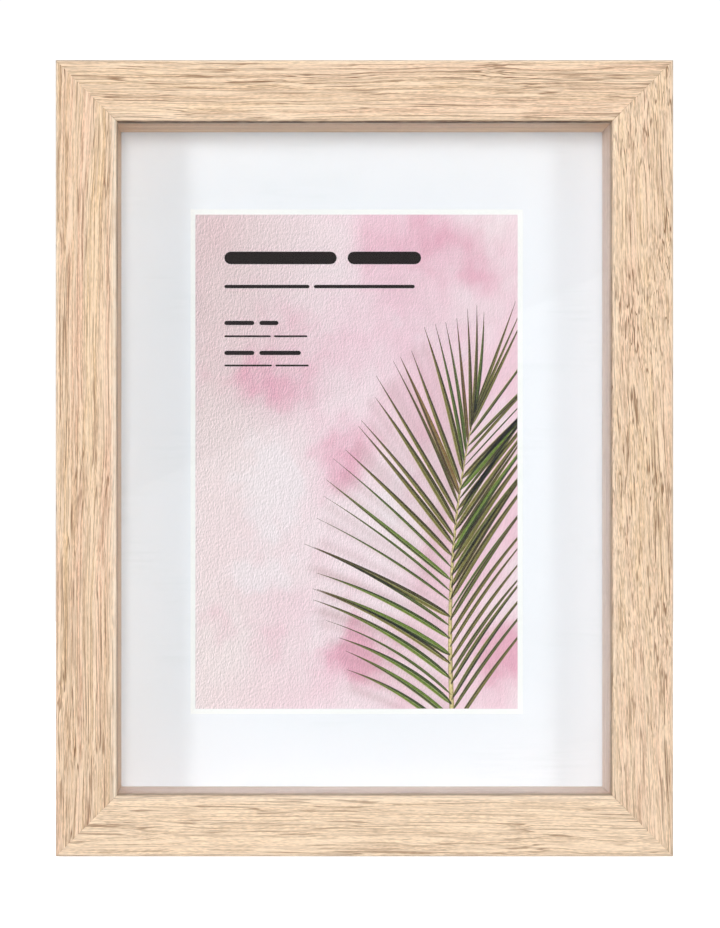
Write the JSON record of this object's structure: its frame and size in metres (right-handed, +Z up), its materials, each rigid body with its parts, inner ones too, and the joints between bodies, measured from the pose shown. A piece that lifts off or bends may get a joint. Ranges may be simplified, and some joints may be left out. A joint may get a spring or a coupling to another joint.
{
  "type": "shadow box picture frame",
  "caption": "Deep wood-veneer shadow box frame with glass, spacer strips, window mat and picture, closed by a lift-out back with turn buttons and a folding easel strut.",
  "frame": {"origin": "middle of the flat face that the frame stands on", "axes": "+X to the right seen from the front, +Y from the front to the back, +Z up along the height"},
  "size_m": [0.1754, 0.0392, 0.2262],
  "materials": {
    "oak_veneer": "pale oak, fine open grain, clear matte lacquer",
    "fibreboard": "raw sawn fibreboard",
    "wood_look_foil": "satin wood-look paper foil",
    "back_board": "smooth brown hardboard",
    "clear_glass": "clear, polished",
    "white_board": "white paper-faced board, white core",
    "printed_paper": "matte printed paper",
    "soft_rubber": "matte",
    "plated_steel": "nickel plated, stamped",
    "plated_fastener": "bright zinc plated"
  },
  "bodies": {
    "frame": {"moulding_core_bottom": "fibreboard", "veneer_bottom": "oak_veneer", "spacer_bottom": "wood_look_foil", "moulding_core_top": "fibreboard", "veneer_top": "oak_veneer", "spacer_top": "wood_look_foil", "moulding_core_left": "fibreboard", "veneer_left": "oak_veneer", "spacer_left": "wood_look_foil", "moulding_core_right": "fibreboard", "veneer_right": "oak_veneer", "spacer_right": "wood_look_foil", "corner_v_nails": "plated_fastener", "glass_pane": "clear_glass", "turn_button_screws": "plated_fastener", "hanger_upright": "plated_steel", "hanger_sideways": "plated_steel", "hanger_nails": "plated_fastener", "wall_bumpers": "soft_rubber"},
    "mat": {"window_mat": "white_board"},
    "picture": {"picture_sheet": "printed_paper"},
    "back_panel": {"backing_board": "back_board", "hinge_fixed_leaf": "plated_steel", "hinge_pin": "plated_fastener", "board_rivets": "plated_fastener"},
    "strut": {"easel_strut": "back_board", "hinge_moving_leaf": "plated_steel", "strut_rivets": "plated_fastener"},
    "button_lower_left": {"turn_button_lower_left": "plated_steel"},
    "button_upper_left": {"turn_button_upper_left": "plated_steel"},
    "button_lower_right": {"turn_button_lower_right": "plated_steel"},
    "button_upper_right": {"turn_button_upper_right": "plated_steel"}
  },
  "joints": [
    {"name": "back_lift", "type": "slide", "parent": "frame", "child": "back_panel", "axis": [0, 1, 0], "range_m": [0, 0.09]},
    {"name": "picture_lift", "type": "slide", "parent": "frame", "child": "picture", "axis": [0, 1, 0], "range_m": [0, 0.0601]},
    {"name": "mat_lift", "type": "slide", "parent": "frame", "child": "mat", "axis": [0, 1, 0], "range_m": [0, 0.0301]},
    {"name": "strut_hinge", "type": "hinge", "parent": "back_panel", "child": "strut", "pos_m": [0, 0.019, 0.13], "axis": [1, 0, 0], "range_deg": [0, 28]},
    {"name": "button_lower_left_turn", "type": "hinge", "parent": "frame", "child": "button_lower_left", "pos_m": [-0.08235, 0.0176, 0.0551], "axis": [0, -1, 0], "continuous": true},
    {"name": "button_upper_left_turn", "type": "hinge", "parent": "frame", "child": "button_upper_left", "pos_m": [-0.08235, 0.0176, 0.1711], "axis": [0, -1, 0], "continuous": true},
    {"name": "button_lower_right_turn", "type": "hinge", "parent": "frame", "child": "button_lower_right", "pos_m": [0.08235, 0.0176, 0.0551], "axis": [0, 1, 0], "continuous": true},
    {"name": "button_upper_right_turn", "type": "hinge", "parent": "frame", "child": "button_upper_right", "pos_m": [0.08235, 0.0176, 0.1711], "axis": [0, 1, 0], "continuous": true}
  ],
  "couplings": [
    {"joint": "picture_lift", "follows": "back_lift", "ratio": 0.66667},
    {"joint": "mat_lift", "follows": "back_lift", "ratio": 0.33333}
  ]
}
